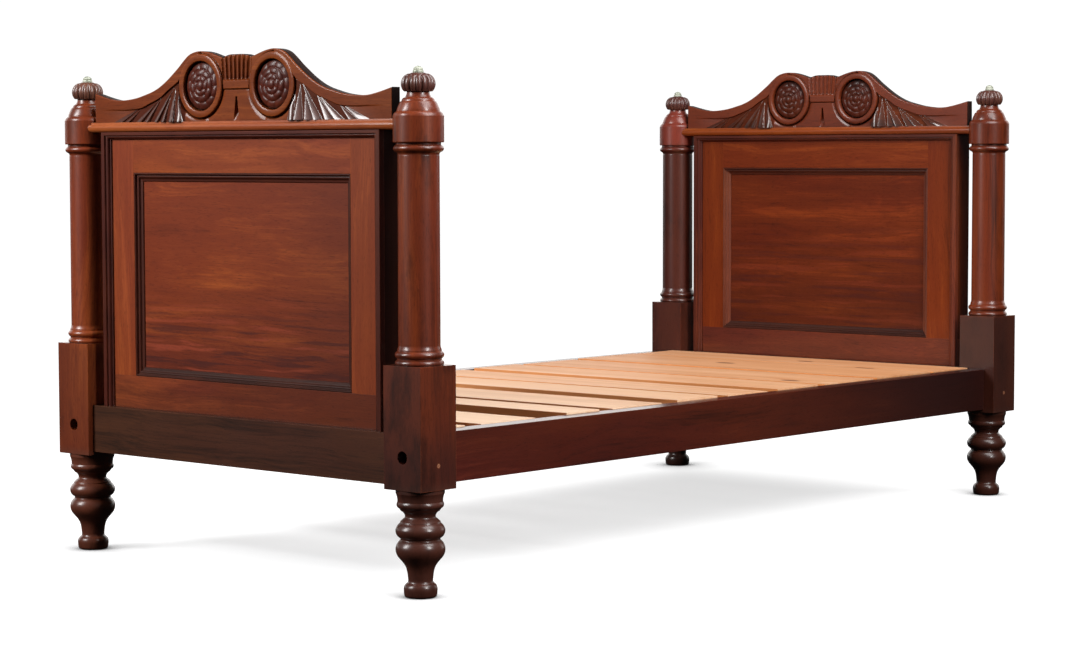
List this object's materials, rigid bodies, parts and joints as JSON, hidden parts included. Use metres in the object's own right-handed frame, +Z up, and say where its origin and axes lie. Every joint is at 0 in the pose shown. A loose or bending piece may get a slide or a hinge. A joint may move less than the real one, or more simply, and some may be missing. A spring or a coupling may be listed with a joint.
{
  "type": "single bed",
  "caption": "Single bed with matching framed-panel ends on turned posts, carved scroll crests, plain side rails and loose boards across to carry a mattress.",
  "frame": {"origin": "on the floor under the middle of the bed", "axes": "+X across the bed to its right as seen from the foot, +Y along it from foot to head, +Z up"},
  "size_m": [1.056, 2.092, 1.0385],
  "materials": {
    "mahogany": "polished red-brown hardwood",
    "dark_mahogany": "polished dark brown hardwood",
    "pine": "bare planed softwood",
    "pale_wood": "bare dowel wood",
    "brass": "pale worn metal",
    "steel": "dulled steel"
  },
  "bodies": {
    "frame": {"bed_bolts": "steel", "bed_nuts": "steel", "crest_dowels": "pale_wood", "finial_tips": "brass", "foot_bead_bottom": "mahogany", "foot_bead_left": "mahogany", "foot_bead_right": "mahogany", "foot_bead_top": "mahogany", "foot_border_left": "mahogany", "foot_border_right": "mahogany", "foot_border_top": "mahogany", "foot_bottom_rail": "mahogany", "foot_cap_rail": "mahogany", "foot_crest": "mahogany", "foot_end_rail": "dark_mahogany", "foot_field_panel": "mahogany", "foot_left_finial": "mahogany", "foot_left_post": "mahogany", "foot_left_stile": "mahogany", "foot_right_finial": "mahogany", "foot_right_post": "mahogany", "foot_right_stile": "mahogany", "foot_top_rail": "mahogany", "head_bead_bottom": "mahogany", "head_bead_left": "mahogany", "head_bead_right": "mahogany", "head_bead_top": "mahogany", "head_border_left": "mahogany", "head_border_right": "mahogany", "head_border_top": "mahogany", "head_bottom_rail": "mahogany", "head_cap_rail": "mahogany", "head_crest": "mahogany", "head_end_rail": "dark_mahogany", "head_field_panel": "mahogany", "head_left_finial": "mahogany", "head_left_post": "mahogany", "head_left_stile": "mahogany", "head_right_finial": "mahogany", "head_right_post": "mahogany", "head_right_stile": "mahogany", "head_top_rail": "mahogany", "ledger_screws": "steel", "left_ledger": "pine", "left_side_rail": "dark_mahogany", "rail_pegs": "pale_wood", "right_ledger": "pine", "right_side_rail": "dark_mahogany"},
    "slat_1": {"slat_1": "pine"},
    "slat_2": {"slat_2": "pine"},
    "slat_3": {"slat_3": "pine"},
    "slat_4": {"slat_4": "pine"},
    "slat_5": {"slat_5": "pine"},
    "slat_6": {"slat_6": "pine"},
    "slat_7": {"slat_7": "pine"},
    "slat_8": {"slat_8": "pine"},
    "slat_9": {"slat_9": "pine"},
    "slat_10": {"slat_10": "pine"}
  },
  "joints": [
    {"name": "slat_1_lift", "type": "slide", "parent": "frame", "child": "slat_1", "axis": [0, 0, 1], "range_m": [0, 0.2]},
    {"name": "slat_2_lift", "type": "slide", "parent": "frame", "child": "slat_2", "axis": [0, 0, 1], "range_m": [0, 0.2]},
    {"name": "slat_3_lift", "type": "slide", "parent": "frame", "child": "slat_3", "axis": [0, 0, 1], "range_m": [0, 0.2]},
    {"name": "slat_4_lift", "type": "slide", "parent": "frame", "child": "slat_4", "axis": [0, 0, 1], "range_m": [0, 0.2]},
    {"name": "slat_5_lift", "type": "slide", "parent": "frame", "child": "slat_5", "axis": [0, 0, 1], "range_m": [0, 0.2]},
    {"name": "slat_6_lift", "type": "slide", "parent": "frame", "child": "slat_6", "axis": [0, 0, 1], "range_m": [0, 0.2]},
    {"name": "slat_7_lift", "type": "slide", "parent": "frame", "child": "slat_7", "axis": [0, 0, 1], "range_m": [0, 0.2]},
    {"name": "slat_8_lift", "type": "slide", "parent": "frame", "child": "slat_8", "axis": [0, 0, 1], "range_m": [0, 0.2]},
    {"name": "slat_9_lift", "type": "slide", "parent": "frame", "child": "slat_9", "axis": [0, 0, 1], "range_m": [0, 0.2]},
    {"name": "slat_10_lift", "type": "slide", "parent": "frame", "child": "slat_10", "axis": [0, 0, 1], "range_m": [0, 0.2]}
  ]
}
